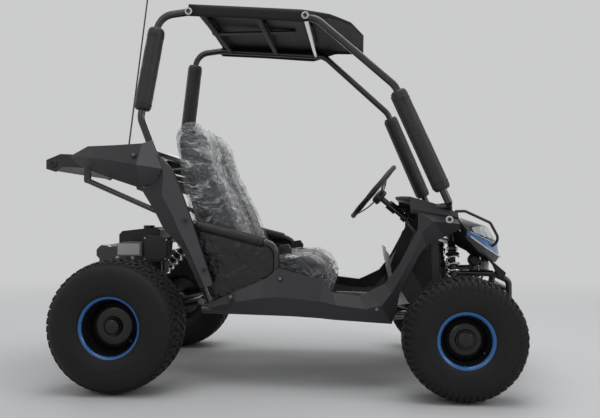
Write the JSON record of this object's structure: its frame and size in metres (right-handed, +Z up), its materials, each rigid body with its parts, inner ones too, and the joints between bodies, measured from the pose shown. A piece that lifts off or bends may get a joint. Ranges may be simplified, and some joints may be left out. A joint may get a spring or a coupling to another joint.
{
  "type": "off road go kart",
  "caption": "Two seat off road go kart with a padded roll cage, a roof, moulded side panels, knobbly tyres, sprung front arms and an engine on a rear swing arm.",
  "frame": {"origin": "on the ground, midway along the length and on the middle plane of the kart", "axes": "+X forward, +Y to the left of the driver, +Z up"},
  "size_m": [1.5444, 1, 1.4784],
  "materials": {
    "black_steel": "gloss black",
    "panel_plastic": "grained charcoal",
    "pad_vinyl": "soft foam backed vinyl",
    "seat_vinyl": "padded vinyl",
    "tyre_rubber": "matt",
    "rim_paint": "satin black",
    "zinc": "zinc plated",
    "spring_steel": "bright",
    "cast_alloy": "cast",
    "tank_black": "gloss",
    "cleaner_plastic": "matt"
  },
  "bodies": {
    "frame": {"frame_rail_right": "black_steel", "frame_rail_left": "black_steel", "frame_front": "black_steel", "rear_hoop": "black_steel", "front_hoop": "black_steel", "floor_pan": "black_steel", "roof_panel": "panel_plastic", "rear_pad_right": "pad_vinyl", "rear_pad_left": "pad_vinyl", "front_pad_right": "pad_vinyl", "front_pad_left": "pad_vinyl", "side_bar_right": "black_steel", "side_bar_left": "black_steel", "arm_pad_right": "pad_vinyl", "arm_pad_left": "pad_vinyl", "side_guard_right": "pad_vinyl", "side_guard_left": "pad_vinyl", "seat_right": "seat_vinyl", "seat_left": "seat_vinyl", "rear_panel_right": "panel_plastic", "rear_panel_left": "panel_plastic", "side_panel_right": "panel_plastic", "side_panel_left": "panel_plastic", "cowl": "panel_plastic", "nose_panel": "panel_plastic", "tail_bar": "panel_plastic", "flag_mast": "pad_vinyl"},
    "steering_wheel": {"steering_wheel": "pad_vinyl"},
    "lower_shaft": {"lower_shaft": "black_steel"},
    "steering_rack": {"steering_rack": "zinc"},
    "front_arm_right": {"front_arm_right": "black_steel"},
    "knuckle_right": {"knuckle_right": "zinc"},
    "tie_rod_right": {"tie_rod_right": "zinc"},
    "front_wheel_right": {"tyre_front_right": "tyre_rubber", "rim_front_right": "rim_paint"},
    "front_damper_right": {"front_damper_right_body": "black_steel", "front_damper_right_spring": "spring_steel"},
    "front_damper_rod_right": {"front_damper_right_rod": "zinc"},
    "front_arm_left": {"front_arm_left": "black_steel"},
    "knuckle_left": {"knuckle_left": "zinc"},
    "tie_rod_left": {"tie_rod_left": "zinc"},
    "front_wheel_left": {"tyre_front_left": "tyre_rubber", "rim_front_left": "rim_paint"},
    "front_damper_left": {"front_damper_left_body": "black_steel", "front_damper_left_spring": "spring_steel"},
    "front_damper_rod_left": {"front_damper_left_rod": "zinc"},
    "swing_arm": {"swing_arm": "black_steel", "engine": "cast_alloy", "fuel_tank": "tank_black", "air_cleaner": "cleaner_plastic"},
    "rear_axle": {"rear_axle": "zinc", "rim_rear_right": "rim_paint", "rim_rear_left": "rim_paint", "tyre_rear_right": "tyre_rubber", "tyre_rear_left": "tyre_rubber"},
    "rear_damper": {"rear_damper_body": "black_steel", "rear_damper_spring": "spring_steel"},
    "rear_damper_rod": {"rear_damper_rod": "zinc"},
    "throttle_pedal": {"throttle_pedal": "zinc"},
    "brake_pedal": {"brake_pedal": "zinc"}
  },
  "joints": [
    {"name": "steer", "type": "hinge", "parent": "frame", "child": "steering_wheel", "pos_m": [0.325, 0.15, 0.632], "axis": [-0.766, 0, 0.6428], "range_deg": [-45, 45]},
    {"name": "lower_shaft_turn", "type": "hinge", "parent": "frame", "child": "lower_shaft", "pos_m": [0.44757, 0.15, 0.52915], "axis": [-0.5724, 0.2484, 0.7814], "range_deg": [-45.5, 45.5]},
    {"name": "rack_slide", "type": "slide", "parent": "frame", "child": "steering_rack", "axis": [0, 1, 0], "range_m": [-0.0255, 0.0255]},
    {"name": "front_arm_right_swing", "type": "hinge", "parent": "frame", "child": "front_arm_right", "pos_m": [0.575, -0.15, 0.21], "axis": [-1, 0, 0], "range_deg": [-6, 8], "stiffness_Nm_per_rad": 700, "springref_deg": -6.88, "deforming": ["front_damper_right_spring"]},
    {"name": "front_damper_right_tilt", "type": "hinge", "parent": "frame", "child": "front_damper_right", "pos_m": [0.575, -0.175, 0.43], "axis": [-1, 0, 0], "range_deg": [-0.9, 1.2]},
    {"name": "front_damper_rod_right_tilt", "type": "hinge", "parent": "front_arm_right", "child": "front_damper_rod_right", "pos_m": [0.575, -0.262, 0.222], "axis": [-1, 0, 0], "range_deg": [-7.1, 5.3]},
    {"name": "knuckle_right_steer", "type": "hinge", "parent": "front_arm_right", "child": "knuckle_right", "pos_m": [0.575, -0.34, 0.181], "axis": [0, 0, 1], "range_deg": [-18.2, 18.2]},
    {"name": "tie_rod_right_turn", "type": "hinge", "parent": "knuckle_right", "child": "tie_rod_right", "pos_m": [0.655, -0.335, 0.24], "axis": [0, 0, 1], "range_deg": [-18.2, 18.2]},
    {"name": "front_wheel_right_spin", "type": "hinge", "parent": "knuckle_right", "child": "front_wheel_right", "pos_m": [0.575, -0.427, 0.181], "axis": [0, 1, 0], "continuous": true},
    {"name": "front_arm_left_swing", "type": "hinge", "parent": "frame", "child": "front_arm_left", "pos_m": [0.575, 0.15, 0.21], "axis": [1, 0, 0], "range_deg": [-6, 8], "stiffness_Nm_per_rad": 700, "springref_deg": -6.88, "deforming": ["front_damper_left_spring"]},
    {"name": "front_damper_left_tilt", "type": "hinge", "parent": "frame", "child": "front_damper_left", "pos_m": [0.575, 0.175, 0.43], "axis": [1, 0, 0], "range_deg": [-0.9, 1.2]},
    {"name": "front_damper_rod_left_tilt", "type": "hinge", "parent": "front_arm_left", "child": "front_damper_rod_left", "pos_m": [0.575, 0.262, 0.222], "axis": [1, 0, 0], "range_deg": [-7.1, 5.3]},
    {"name": "knuckle_left_steer", "type": "hinge", "parent": "front_arm_left", "child": "knuckle_left", "pos_m": [0.575, 0.34, 0.181], "axis": [0, 0, 1], "range_deg": [-18.2, 18.2]},
    {"name": "tie_rod_left_turn", "type": "hinge", "parent": "knuckle_left", "child": "tie_rod_left", "pos_m": [0.655, 0.335, 0.24], "axis": [0, 0, 1], "range_deg": [-18.2, 18.2]},
    {"name": "front_wheel_left_spin", "type": "hinge", "parent": "knuckle_left", "child": "front_wheel_left", "pos_m": [0.575, 0.427, 0.181], "axis": [0, 1, 0], "continuous": true},
    {"name": "swing_arm_swing", "type": "hinge", "parent": "frame", "child": "swing_arm", "pos_m": [-0.262, 0, 0.248], "axis": [0, 1, 0], "range_deg": [-6, 8], "stiffness_Nm_per_rad": 1500, "springref_deg": -6.88, "deforming": ["rear_damper_spring"]},
    {"name": "rear_axle_spin", "type": "hinge", "parent": "swing_arm", "child": "rear_axle", "pos_m": [-0.471, 0, 0.203], "axis": [0, 1, 0], "continuous": true},
    {"name": "rear_damper_tilt", "type": "hinge", "parent": "frame", "child": "rear_damper", "pos_m": [-0.339, 0, 0.454], "axis": [0, 1, 0], "range_deg": [-3.5, 4.6]},
    {"name": "rear_damper_rod_tilt", "type": "hinge", "parent": "swing_arm", "child": "rear_damper_rod", "pos_m": [-0.487, 0, 0.295], "axis": [0, 1, 0], "range_deg": [-3.8, 2.9]},
    {"name": "throttle_press", "type": "hinge", "parent": "frame", "child": "throttle_pedal", "pos_m": [0.392, 0.09, 0.276], "axis": [0, 1, 0], "range_deg": [0, 20], "stiffness_Nm_per_rad": 4, "springref_deg": -17.19},
    {"name": "brake_press", "type": "hinge", "parent": "frame", "child": "brake_pedal", "pos_m": [0.392, 0.21, 0.276], "axis": [0, 1, 0], "range_deg": [0, 20], "stiffness_Nm_per_rad": 4, "springref_deg": -17.19}
  ],
  "couplings": [
    {"joint": "lower_shaft_turn", "follows": "steer", "ratio": 1},
    {"joint": "rack_slide", "follows": "steer", "m_per_rad": 0.0315},
    {"joint": "knuckle_right_steer", "follows": "steer", "ratio": 0.4},
    {"joint": "tie_rod_right_turn", "follows": "steer", "ratio": -0.4},
    {"joint": "front_damper_right_tilt", "follows": "front_arm_right_swing", "ratio": 0.135},
    {"joint": "front_damper_rod_right_tilt", "follows": "front_arm_right_swing", "ratio": -0.865},
    {"joint": "knuckle_left_steer", "follows": "steer", "ratio": 0.4},
    {"joint": "tie_rod_left_turn", "follows": "steer", "ratio": -0.4},
    {"joint": "front_damper_left_tilt", "follows": "front_arm_left_swing", "ratio": 0.135},
    {"joint": "front_damper_rod_left_tilt", "follows": "front_arm_left_swing", "ratio": -0.865},
    {"joint": "rear_damper_tilt", "follows": "swing_arm_swing", "ratio": 0.55},
    {"joint": "rear_damper_rod_tilt", "follows": "swing_arm_swing", "ratio": -0.45}
  ]
}
